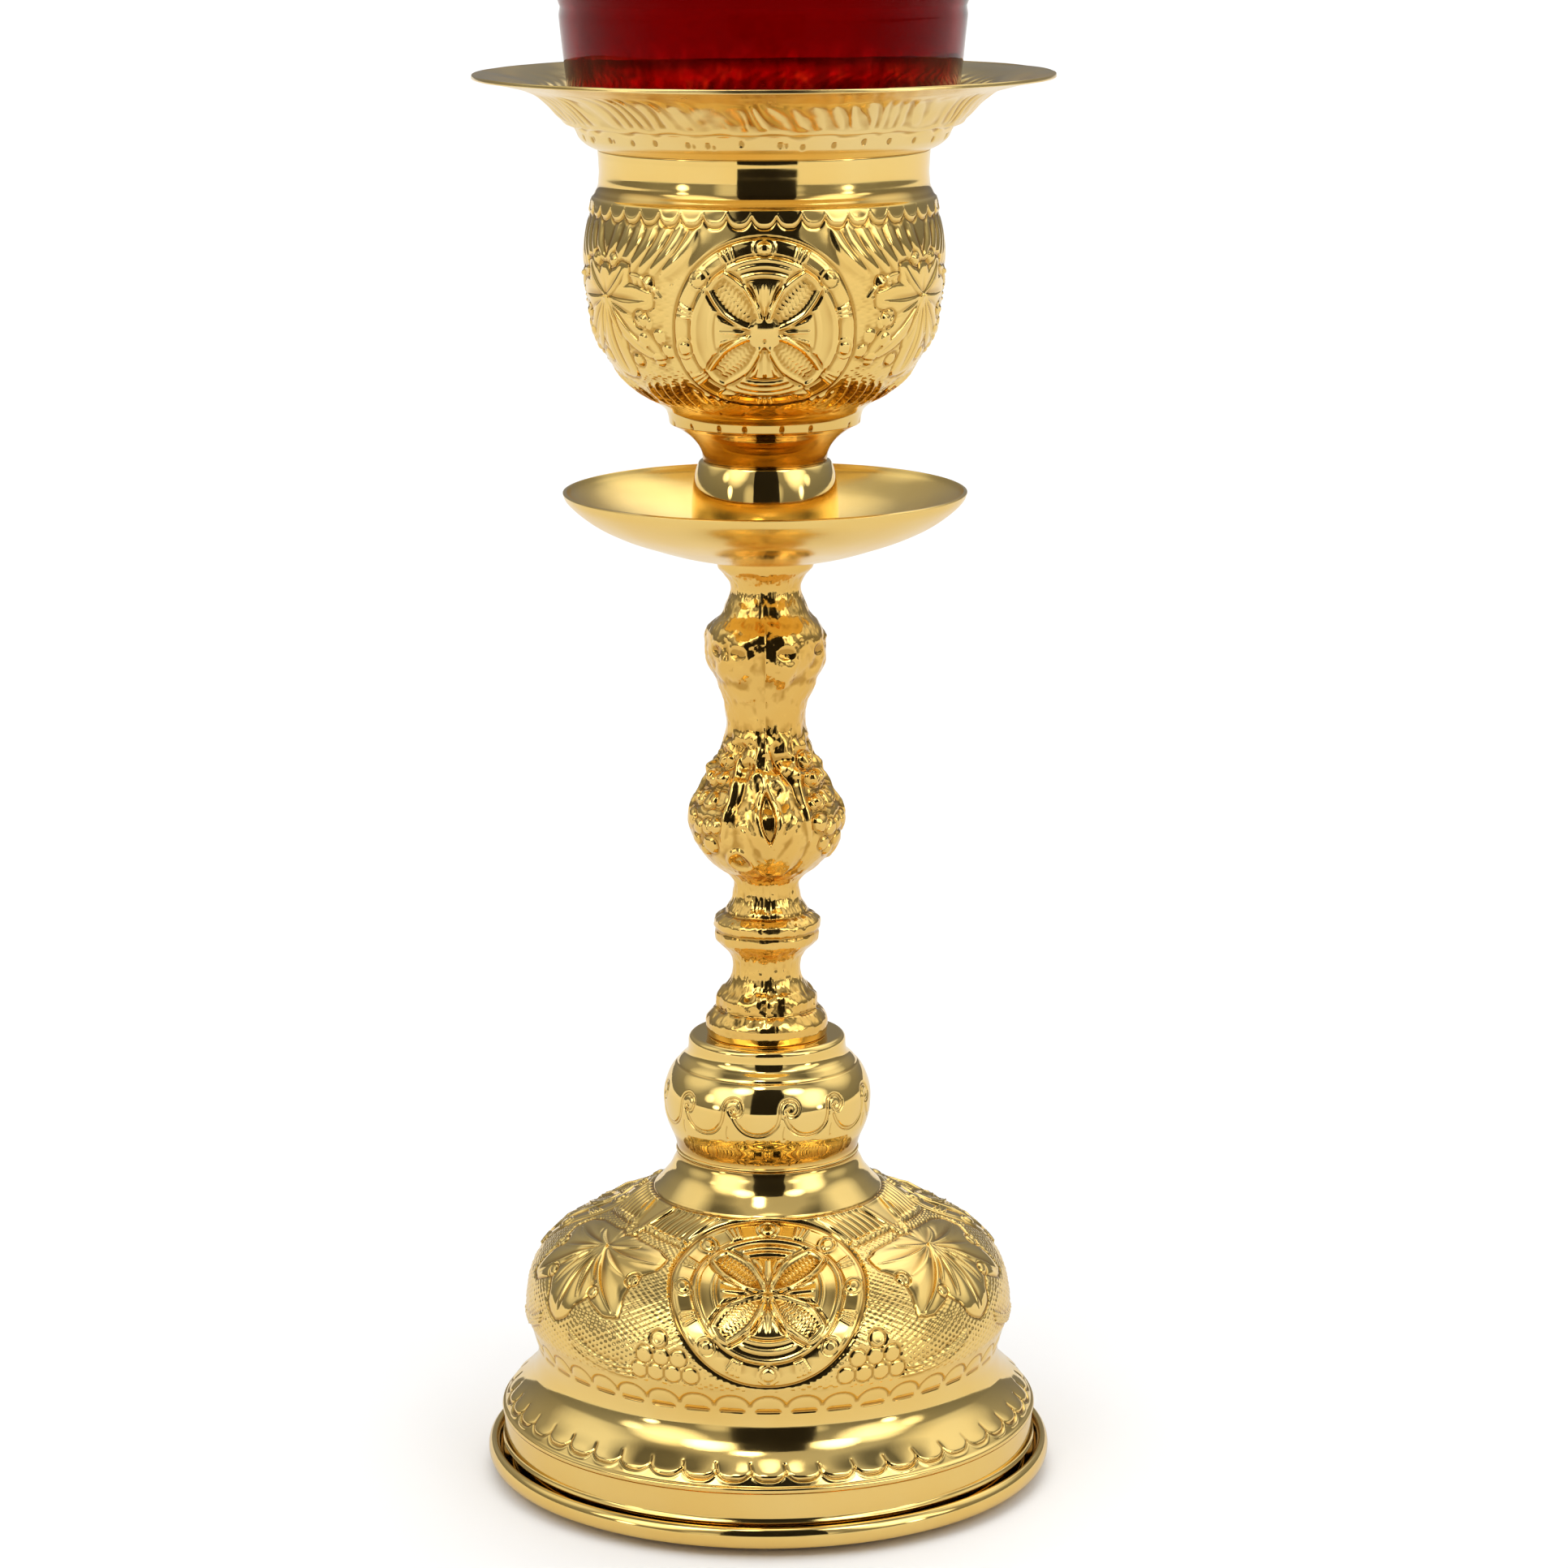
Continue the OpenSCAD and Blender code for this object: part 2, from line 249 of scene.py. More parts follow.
def value_noise(degrees, along, cell_degrees, cell_along, seed):
    """Smooth noise between -1 and 1 that closes on itself round the lamp."""
    turns = int(round(360 / cell_degrees))
    table = np.random.default_rng(seed).uniform(-1, 1, (turns, NOISE_ROWS))
    u, v = np.broadcast_arrays(degrees / 360 * turns, along / cell_along + NOISE_START)
    i, j = np.floor(u).astype(int), np.floor(v).astype(int)
    s, t = u - i, v - j
    s, t = s * s * (3 - 2 * s), t * t * (3 - 2 * t)
    i0, i1, j0, j1 = i % turns, (i + 1) % turns, j % NOISE_ROWS, (j + 1) % NOISE_ROWS
    return ((table[i0, j0] * (1 - s) + table[i1, j0] * s) * (1 - t)
            + (table[i0, j1] * (1 - s) + table[i1, j1] * s) * t)


def all_round(columns):
    """The angle of each column of a piece, in degrees."""
    return np.arange(columns)[None, :] / columns * 360


# ---- meshes

def turned(name, rows, columns, height, body, cad, material, closed=True, groove=None):
    """A piece turned from rows of (radius, height), each point moved out along the outline's normal. It rides on
    a body and stands for a CAD node."""
    if closed:
        rows = rows[:-1]
    pole_low = not closed and rows[0, 0] < AT_AXIS
    pole_high = not closed and rows[-1, 0] < AT_AXIS
    ahead = np.roll(rows, -1, axis=0) - np.roll(rows, 1, axis=0)
    if not closed:
        ahead[0], ahead[-1] = rows[1] - rows[0], rows[-1] - rows[-2]
    normal = np.c_[ahead[:, 1], -ahead[:, 0]] / np.hypot(*ahead.T)[:, None]
    out = height[:len(rows)]
    radius = rows[:, :1] + normal[:, :1] * out
    level = rows[:, 1:] + normal[:, 1:] * out
    angle = np.arange(columns) / columns * 2 * math.pi
    spots = np.stack([radius * np.sin(angle), -radius * np.cos(angle), level], -1) * MM
    first, last = int(pole_low), len(rows) - int(pole_high)
    grid = spots[first:last].reshape(-1, 3)
    index = np.arange(len(grid)).reshape(-1, columns)
    upper = np.roll(index, -1, axis=0) if closed else index[1:]
    lower = index if closed else index[:-1]
    quads = np.stack([lower, np.roll(lower, -1, axis=1), np.roll(upper, -1, axis=1), upper], -1).reshape(-1, 4)
    points, tris = [grid], []
    if pole_low:
        tris.append(np.stack([np.roll(index[0], -1), index[0], np.full(columns, len(grid))], -1))
        points.append([[0, 0, rows[0, 1] * MM]])
    if pole_high:
        top = len(grid) + pole_low
        tris.append(np.stack([index[-1], np.roll(index[-1], -1), np.full(columns, top)], -1))
        points.append([[0, 0, rows[-1, 1] * MM]])
    corners = np.concatenate([quads.ravel()] + [t.ravel() for t in tris])
    sizes = np.r_[np.full(len(quads), 4), np.full(sum(len(t) for t in tris), 3)].astype(int)
    starts = np.r_[0, np.cumsum(sizes)[:-1]]
    points = np.concatenate(points)
    mesh = bpy.data.meshes.new(name)
    mesh.vertices.add(len(points))
    mesh.vertices.foreach_set("co", points.ravel())
    mesh.loops.add(len(corners))
    mesh.loops.foreach_set("vertex_index", corners)
    mesh.polygons.add(len(sizes))
    mesh.polygons.foreach_set("loop_start", starts)
    mesh.polygons.foreach_set("use_smooth", np.ones(len(sizes), bool))
    mesh.update(calc_edges=True)
    if groove is not None:
        values = np.zeros(len(points), np.float32)
        values[:len(grid)] = groove[:len(rows)][first:last].ravel()
        mesh.attributes.new("groove", "FLOAT", "POINT").data.foreach_set("value", values)
    piece = link(name, mesh)
    piece.data.materials.append(material)
    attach(piece, body)
    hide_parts(cad)


def link(name, mesh):
    piece = bpy.data.objects.new(name, mesh)
    scene.collection.objects.link(piece)
    return piece


def groove_of(height, reach):
    """How deep each point lies below its surroundings, from 0 to 1."""
    soft = height
    for _ in range(3):
        soft = sum(np.roll(soft, k, axis=1) for k in range(-reach, reach + 1)) / (2 * reach + 1)
        pad = np.pad(soft, ((reach, reach), (0, 0)), "edge")
        soft = sum(pad[k:k + len(soft)] for k in range(2 * reach + 1)) / (2 * reach + 1)
    return np.clip((soft - height) / FULL_GROOVE, 0, 1)


def distance_along(rows):
    return np.r_[0, np.cumsum(np.hypot(*np.diff(rows, axis=0).T))]


# ---- materials

def settle(made, settings):
    """Sets a node's own sockets and properties. A socket's name is written with _ for each space."""
    for key, value in settings.items():
        socket = made.inputs.get(key.replace("_", " "))
        if socket is None:
            setattr(made, key, value)
        else:
            socket.default_value = value


def principled(name, **settings):
    """A new material, its node tree and its shader."""
    material = bpy.data.materials.new(name)
    material.use_nodes = True
    bsdf = material.node_tree.nodes["Principled BSDF"]
    settle(bsdf, settings)
    return material, material.node_tree, bsdf


def node(tree, kind, *feeds, **settings):
    """A new node, with its first inputs linked to the feeds."""
    made = tree.nodes.new(kind)
    settle(made, settings)
    for source, socket in zip(feeds, made.inputs):
        tree.links.new(source, socket)
    return made


def own_space(tree):
    """The coordinates of the object that the material is on."""
    return node(tree, "ShaderNodeTexCoord").outputs["Object"]


def noise(tree, scale, detail, stretch=(1, 1, 1), offset=0.0):
    """Noise in the object's own space, scale in features per metre."""
    place = node(tree, "ShaderNodeMapping", own_space(tree), Scale=stretch, Location=(offset, offset, offset))
    return node(tree, "ShaderNodeTexNoise", place.outputs["Vector"], Scale=scale, Detail=detail).outputs["Fac"]


def ramp(tree, source, low, high, start, end):
    """Maps a value from start..end to low..high, which may be colours."""
    if isinstance(low, tuple):
        made = node(tree, "ShaderNodeValToRGB", source)
        for element, place, colour in zip(made.color_ramp.elements, (start, end), (low, high)):
            element.position = place
            element.color = (*colour, 1)
        return made.outputs["Color"]
    return node(tree, "ShaderNodeMapRange", source, From_Min=start, From_Max=end, To_Min=low,
                To_Max=high).outputs["Result"]


# a Mix node's colour sockets, which have the same names as its number sockets
MIX_FIRST, MIX_SECOND, MIX_RESULT = 6, 7, 2


def mix_colour(tree, factor, first, second):
    """Blends a node's colour towards a fixed one."""
    made = node(tree, "ShaderNodeMix", factor, data_type="RGBA")
    tree.links.new(first, made.inputs[MIX_FIRST])
    made.inputs[MIX_SECOND].default_value = (*second, 1)
    return made.outputs[MIX_RESULT]


def vary(tree, bsdf, socket, *mapping):
    """Feeds a socket of the shader from a ramp."""
    tree.links.new(ramp(tree, *mapping), bsdf.inputs[socket])


def bump(tree, bsdf, source, depth):
    """Adds a bump of a depth in mm on top of the ones before it."""
    made = node(tree, "ShaderNodeBump", Strength=1.0, Distance=depth * MM)
    tree.links.new(source, made.inputs["Height"])
    for previous in bsdf.inputs["Normal"].links:
        tree.links.new(previous.from_socket, made.inputs["Normal"])
    tree.links.new(made.outputs["Normal"], bsdf.inputs["Normal"])


GOLD = (0.93, 0.675, 0.235)
GOLD_WARM = (0.91, 0.625, 0.19)
# the brown of the painted shade in grooves and hollows
SHADED_GOLD = (0.50, 0.27, 0.05)


def brass(name, rough, light=GOLD, warm=GOLD_WARM, grooves=False, turning=0.0, pits=0.0):
    """Gold-plated brass: uneven polish, hair scratches, painted shade darkening the grooves, and turning lines or
    casting pits of a depth in mm."""
    material, tree, bsdf = principled(name, Metallic=1.0)
    colour = ramp(tree, noise(tree, 55, 5), warm, light, 0.35, 0.65)
    if grooves:
        # painted shade: the gold darkens towards a brown in grooves and hollows, the deeper the darker
        groove_shade = node(tree, "ShaderNodeAttribute", attribute_name="groove")
        depth = ramp(tree, groove_shade.outputs["Fac"], 0.0, 0.85, 0.10, 0.85)
        colour = mix_colour(tree, depth, colour, SHADED_GOLD)
    tree.links.new(colour, bsdf.inputs["Base Color"])
    vary(tree, bsdf, "Roughness", noise(tree, 130, 6, offset=3.1), *rough, 0.35, 0.7)
    bump(tree, bsdf, noise(tree, 900, 3, stretch=(1, 1, 0.12), offset=1.7), 0.004)
    if turning:
        bump(tree, bsdf, noise(tree, 2600, 2, stretch=(0.002, 0.002, 1)), turning)
    if pits:
        bump(tree, bsdf, noise(tree, 1100, 6, offset=5.3), pits)
    return material


def ruby_glass():
    material, tree, bsdf = principled("ruby_glass", Transmission_Weight=1.0, IOR=1.25, Specular_IOR_Level=0.1,
                                      Specular_Tint=(0.5, 0.05, 0.06, 1), Metallic=0.0)
    tint = ramp(tree, noise(tree, 30, 3), (0.45, 0.0, 0.006), (0.57, 0.001, 0.014), 0.3, 0.7)
    # brighter patches low down, where the light comes back up through the foot of the cup
    level = node(tree, "ShaderNodeSeparateXYZ", own_space(tree)).outputs["Z"]
    low = node(tree, "ShaderNodeMath", ramp(tree, level, 1.0, 0.0, 0.2208, 0.2246),
               ramp(tree, noise(tree, 330, 2, stretch=(1, 1, 0.6)), 0.0, 1.0, 0.45, 0.58), operation="MULTIPLY")
    tree.links.new(mix_colour(tree, low.outputs[0], tint, (1.0, 0.30, 0.16)), bsdf.inputs["Base Color"])
    vary(tree, bsdf, "Roughness", noise(tree, 160, 5), 0.015, 0.05, 0.4, 0.75)
    bump(tree, bsdf, noise(tree, 70, 2), 0.12)
    # the red deepens where more glass is looked through
    depth = node(tree, "ShaderNodeVolumeAbsorption", Color=(0.50, 0.0, 0.03, 1), Density=300)
    tree.links.new(depth.outputs["Volume"], tree.nodes["Material Output"].inputs["Volume"])
    return material


def plated_steel(name, colour, rough):
    material, tree, bsdf = principled(name, Metallic=1.0)
    darkened = tuple(0.75 * c for c in colour)
    vary(tree, bsdf, "Base Color", noise(tree, 400, 6), darkened, colour, 0.3, 0.6)
    vary(tree, bsdf, "Roughness", noise(tree, 700, 5), *rough, 0.3, 0.7)
    bump(tree, bsdf, noise(tree, 3000, 3), 0.01)
    return material


def cast_iron():
    material, tree, bsdf = principled("ballast_iron", Metallic=0.6)
    vary(tree, bsdf, "Base Color", noise(tree, 120, 8), (0.02, 0.018, 0.016), (0.10, 0.06, 0.04), 0.4, 0.75)
    vary(tree, bsdf, "Roughness", noise(tree, 300, 6), 0.55, 0.8, 0.3, 0.7)
    bump(tree, bsdf, noise(tree, 900, 8), 0.2)
    return material


def cotton():
    material, tree, bsdf = principled("wick_cotton", Roughness=0.85)
    vary(tree, bsdf, "Base Color", noise(tree, 900, 6), (0.62, 0.56, 0.45), (0.88, 0.84, 0.76), 0.3, 0.7)
    bump(tree, bsdf, noise(tree, 2500, 4, stretch=(1, 1, 0.4)), 0.08)
    return material


polished = brass("polished_brass", rough=(0.035, 0.10))
brushed = brass("brushed_brass", rough=(0.15, 0.26), turning=0.003)
stamped = brass("stamped_brass", rough=(0.05, 0.14), grooves=True, turning=0.0012)
satin = brass("satin_brass", rough=(0.15, 0.28), light=(0.91, 0.69, 0.29), warm=(0.89, 0.63, 0.22),
              grooves=True, turning=0.004)
cast = brass("cast_brass", rough=(0.05, 0.16), light=(0.88, 0.58, 0.17), warm=(0.82, 0.50, 0.12),
             grooves=True, pits=0.03)
engraved = brass("engraved_brass", rough=(0.03, 0.085), grooves=True)
zinc = plated_steel("zinc_steel", (0.62, 0.61, 0.58), (0.25, 0.42))
tin = plated_steel("tinplate", (0.84, 0.83, 0.80), (0.24, 0.40))


# ---- stamped medallion, leaf and grapes

def arm_axes(x, y, angle, unit):
    """How far each point lies along an arm and across it, in the units that the arm is drawn in."""
    c, s = math.cos(math.radians(angle)), math.sin(math.radians(angle))
    return (x * s + y * c) / unit, (x * c - y * s) / unit


def medallion(relief, centre, outer, inner, studs, hollow, studded=1.0, tall=1.0):
    """A double ring with studs between, round a cross of four flared arms and four petals."""
    rows = relief.band(centre[1] - outer - 1, centre[1] + outer + 1)
    x, y = relief.local(rows, centre)
    away = np.hypot(x, y)
    turn = np.degrees(np.arctan2(x, y))
    unit = inner / MEDALLION_DRAWN
    field = relief.height[rows]
    # the stippled ground stops at the outer ring
    field *= step_up(away - outer - 0.8, 0.5)
    field += 0.22 * step_up(outer - away, 0.7) + 0.10 * bell(away - outer, 0.45)
    field -= 0.22 * bell(away - outer - 0.55, 0.4)
    field += 0.30 * bell(away - inner - 0.15, 0.55) - 0.18 * bell(away - inner - 0.8, 0.35)
    y = y / tall
    field -= hollow * step_up(inner - 0.9 - away, inner)
    # diagonal petals: raised rims round a hatched hollow, open-ended at the ring
    for angle in (45, 135, 225, 315):
        u, v = arm_axes(x, y, angle, unit)
        run = np.clip((u - 0.9) / 12.4, 0, 1)
        lens = np.minimum(2.3 * np.sin(math.pi * run ** 0.85) ** 0.75 - abs(v), 10.5 - u - 0.12 * v ** 2)
        inside = between(u, 0.6, 11.2, 0.4, 0.3)
        field += inside * (0.36 * bell(lens, 0.42) - 0.26 * bell(lens + 0.55, 0.42)
                           - 0.10 * step_up(lens - 0.3, 0.5))
        hatch = np.sin(u * 8.6 + 1.2 * np.sin(v * 4)) * (0.6 + 0.4 * np.sin(v * 9))
        field += 0.075 * hatch * step_up(lens - 0.45, 0.3) * step_up(u - 2.4, 1)
    # upright and level arms: flared outlines with a fan of strokes, and a bar that closes the upright ones
    for angle in (0, 90, 180, 270):
        u, v = arm_axes(x, y, angle, unit)
        v = abs(v)
        upright = angle in (0, 180)
        edge = np.minimum(0.25 + 0.44 * np.clip(u - 0.8, 0, 9) - v, 8.3 - 0.05 * v ** 2 - u)
        live = step_up(u - 1.4, 0.6)
        field += live * (1.0 if upright else 0.55) * (0.30 * bell(edge, 0.38) + 0.08 * step_up(edge, 1.0)
                                                      - 0.18 * bell(edge - 0.6, 0.35))
        if upright:
            field += live * 0.24 * bell(u - 9.5 + 0.05 * v ** 2, 0.45) * step_up(4.3 - v, 0.7)
        fan = between(u, 2.6, 7.1, 0.8, 0.6)
        for lean in (0, 0.30):
            field += 0.26 * fan * bell(v - lean * (u - 1.4), 0.30)
    # studs between the rings: round beads and three-stroke claws by turns
    middle = (outer + inner) / 2 + 0.35
    pitch = 360 / studs
    p = np.radians((turn + pitch / 2) % pitch - pitch / 2) * middle
    q = away - middle
    number = np.floor((turn + pitch / 2) / pitch).astype(int) % studs
    bead = 0.50 * np.clip(1 - (p ** 2 + q ** 2) / 1.2, 0, 1) ** 0.7 + 0.20 * bell(np.hypot(p, q) - 1.5, 0.3)
    claw = sum(bell(p - k * (0.7 + 0.12 * q), 0.36) for k in (-1, 0, 1))
    field += studded * np.where(number % 2 == 0, bead, 0.40 * claw * step_up(1.4 - abs(q), 0.5))


def leaf(relief, joint, reach, lobes, veins, scallop=0.3):
    """A lobed vine leaf that hangs from its joint. lobes and veins are (degrees from straight down, length)."""
    rows = relief.band(joint[1] - reach, joint[1] + reach)
    x, y = relief.local(rows, joint)
    away = np.hypot(x, y) + 1e-6
    turn = abs(np.degrees(np.arctan2(x, -y)))
    angles, lengths = np.array(lobes, float).T
    inside = np.interp(turn, angles, lengths) + scallop * abs(np.sin(np.radians(turn * 9))) - away
    field = relief.height[rows]
    field *= step_up(-inside, 0.5)
    spread = [angle for angle, _ in veins] + [180]
    fold = np.sin(np.interp(turn, spread, np.arange(len(spread)) * math.pi)) ** 2
    pillow = 0.15 * fold * np.clip(away / 5, 0, 1) * step_up(inside, 3)
    field += step_up(inside, 1.0) * 0.16 + pillow + 0.06 * bell(inside - 0.35, 0.4)
    field -= 0.16 * bell(inside + 0.3, 0.36)
    for angle, length in veins:
        for side in ((-1, 1) if angle else (1,)):
            curve = [joint]
            for share, lean in ((0.55, 0.86), (1, 1)):
                bearing = math.radians(angle * lean) * side
                along = joint[1] - share * length * math.cos(bearing)
                across = math.degrees(share * length * math.sin(bearing) / relief.radius_at(along))
                curve.append((joint[0] + across, along))
            relief.line(curve, 0.55, 0.30, taper=True)
            shadow = math.degrees(0.55 / relief.radius_at(joint[1])) * side
            relief.line([(a + shadow, s - 0.1) for a, s in curve], 0.4, -0.12, taper=True)


def grapes(relief, centre, side, bead=1.5):
    """A bunch of outlined berries, four over three over one, hanging point up as stamped."""
    for row, count in enumerate((4, 3, 1)):
        along = centre[1] + row * bead * 1.75
        gap = math.degrees(2 * bead * 0.98 / relief.radius_at(along))
        for k in range(count):
            place = (centre[0] + side * (k - (count - 1) / 2 + 0.2 * row) * gap, along)
            rows = relief.band(place[1] - bead, place[1] + bead)
            relief.height[rows] *= step_up(np.hypot(*relief.local(rows, place)) - bead * 0.95, 0.3)
            relief.boss(place, bead, 0.12)
            relief.ring(place, bead * 0.96, 0.24, -0.17)
            relief.ring(place, bead * 0.66, 0.24, 0.05)


# ---- base dome

def prepared(cad, columns, zero, fine, period=SECTOR, start=LOWEST_OUTER, rounding=0.10):
    """Rows of a CAD outline, the number of them on its outside, and a relief for those.
    fine is (lowest level, highest level, row spacing between them); the relief's distances run from level zero."""
    curve = smoothed(outline(cad, start), rounding=rounding)
    outside = np.arange(len(curve) - 1) < curve[:, 1].argmax()
    low, high, close = fine
    rows = rows_along(curve, lambda z, r: np.where(
        outside & (z > low) & (z < high), close, np.where(outside, 0.5, 1.6)))
    last = int(rows[:, 1].argmax())
    along = distance_along(rows)
    along -= along[int(np.argmax(rows[:, 1] >= zero))]
    return rows, last, Relief(along[:last], rows[:last, 0], columns, period)


def relief_piece(name, cad, rows, last, columns, full, material, darkened=0):
    """The mesh of a turned piece with its outside relief, all round or one repeat of it."""
    height = np.zeros((len(rows), columns))
    height[:last] = np.tile(full, (1, columns // full.shape[1]))
    # the groove attribute is painted shade: darker the deeper a point lies below its surroundings, plus any extra
    # painted shade given
    dark = groove_of(height, 4)
    dark[:last] += darkened
    turned(name, rows, columns, height, "stand", cad, material, groove=dark)


def make_dome():
    columns = 1152
    rows, last, relief = prepared("base_dome", columns, 10.5, fine=(10.2, 48.5, 0.18))
    a, degrees, field = relief.along, relief.degrees, relief.height

    # ground of short dashes in staggered rows
    zone = between(a, 15.5, 42.6, 1, 0.8)
    cell = np.sin(np.radians(degrees) * 144)
    stagger = np.sin(a * 6.6 + np.where(cell > 0, 0, math.pi) + 0.9 * np.sin(np.radians(degrees) * 9))
    field += zone * 0.07 * stagger * abs(cell) ** 0.6
    field += zone * 0.04 * value_noise(degrees, a, 1.5, 0.5, 11)

    # border line under the neck
    field += 0.16 * between(a, 15.5, 47.7, 1.5, 0.35)
    field -= 0.22 * bell(a - 47.9, 0.4)
    # fans of curved flutes between the medallions and the leaf stalks
    for top, low in ((51, 54.5), (47, 51.5), (42.8, 48), (38.4, 44.5), (33.9, 41), (29.3, 37.4), (24.6, 33.8)):
        middle = (top + low) / 2
        relief.pairs(0, [([(top, 47.6), (middle + 0.9, 44.8), (low, 41.9)], 1.25, 0.34, True),
                         ([(top - 2.1, 47.4), (middle - 1.3, 44.8), (low - 1.9, 42.2)], 0.5, -0.14, True)])
    # a line under the flutes, and the stalk of the leaf, forked below the border
    relief.pairs(LEAF, [([(5, 42.4), (16, 42.2), (27, 41.2)], 0.6, 0.22),
                        ([(5, 41.6), (16, 41.3), (27, 40.4)], 0.4, -0.16),
                        ([(0.8, 37), (2.2, 42), (9, 47)], 0.9, 0.26),
                        ([(3.2, 38.5), (4.4, 42.5), (11.5, 46.6)], 0.45, -0.16)])

    leaf(relief, (LEAF, 36), 21,
         [(0, 14.6), (14, 13.2), (22, 11.6), (33, 10.6), (44, 15.6), (52, 17.4), (60, 14.5), (70, 11.8),
          (82, 13.6), (96, 12.4), (112, 8), (130, 5.2), (180, 3)],
         [(0, 13.4), (20, 10.5), (36, 8.5), (49, 16), (66, 10.5), (88, 12.4), (112, 6)])
    for side in (-1, 1):
        for across, along, size in ((10.5, 27.6, 0.85), (20.5, 31.6, 1.0)):
            relief.boss((LEAF + side * across, along), size, 0.25)
            relief.ring((LEAF + side * across, along), size + 0.25, 0.3, -0.22)
        # three tendrils under the leaf, each a ridge with a groove below it
        for k in range(3):
            for drop, width, height in ((0, 0.42, 0.34), (0.4, 0.3, -0.20)):
                relief.line([(LEAF + side * (7 + 0.5 * k), 20.6 - drop - 0.75 * k),
                             (LEAF + side * 18, 17.0 - drop - 0.4 * k),
                             (LEAF + side * 27, 17.9 - drop - 0.75 * k)], width, height)
        grapes(relief, (side * 24.5, 17.8), side)

    medallion(relief, (0, 32.1), 15.0, 11.1, 16, hollow=0.55)

    # row of arches, each over a punched dash
    low = relief.band(11, 16.5)
    x, y = relief.local(low, (0, 13.2), 360 / 42)
    arch = np.hypot(x, (y + 0.6) / 0.80)
    field[low] += 0.12 * step_up(2.5 - arch, 1.2) * step_up(y + 1.2, 0.8)
    field[low] -= 0.20 * bell(arch - 2.65, 0.30) * step_up(y + 0.7, 0.5)
    field[low] -= 0.24 * bell(y + 1.35, 0.34) * step_up(2.3 - abs(x), 0.7)

    # low lobes round the shoulder, with a scalloped edge and a tick between each two
    lobe = 360 / 48
    low = relief.band(-0.5, 7.5)
    x, y = relief.local(low, (0, 0), lobe)
    across = np.clip(abs(x) / (math.radians(lobe / 2) * relief.radius[low]), 0, 1)
    edge = y - 0.9 - 1.35 * across ** 3
    field[low] += step_up(5.0 - y, 3.6) * 0.17 * (1 - across ** 2) * step_up(edge, 0.6)
    field[low] -= 0.20 * bell(edge, 0.30) * step_up(y + 0.3, 0.3)
    field[low] += 0.10 * bell(edge + 0.5, 0.32) * step_up(y + 0.3, 0.3)
    relief.line([(lobe / 2 - 0.3, 3.6), (lobe / 2, 3.0), (lobe / 2 + 0.2, 2.2)], 0.34, -0.10, period=lobe)

    # no two lobes are struck equally deep
    full = relief.around()
    every = all_round(columns)
    full *= 1 + 0.16 * value_noise(every, a, 9, 5, 3)
    full *= 1 + step_up(6.5 - a, 1) * (0.60 * value_noise(every, a * 0, 12, 60, 4))
    full += 0.05 * value_noise(every, a, 14, 6, 5) * between(a, 9, 47, 2, 1)
    full *= step_up(a + 0.4, 0.4)
    full = np.clip(0.95 * full, -0.6, 0.6) - 0.10 * between(a, 10, 47.5, 3, 0.5)
    # the outline between the ornament and the neck is a little slimmer than the CAD's, and so is the neck
    full -= 0.28 * between(a, 33, 46, 6, 6) + 0.14 * between(a, 37, 51, 4, 3)
    full -= 0.34 * step_up(rows[:last, 1:] - 49.6, 2.2)
    relief_piece("embossed_dome", "base_dome", rows, last, columns, full, stamped)


# ---- bowl

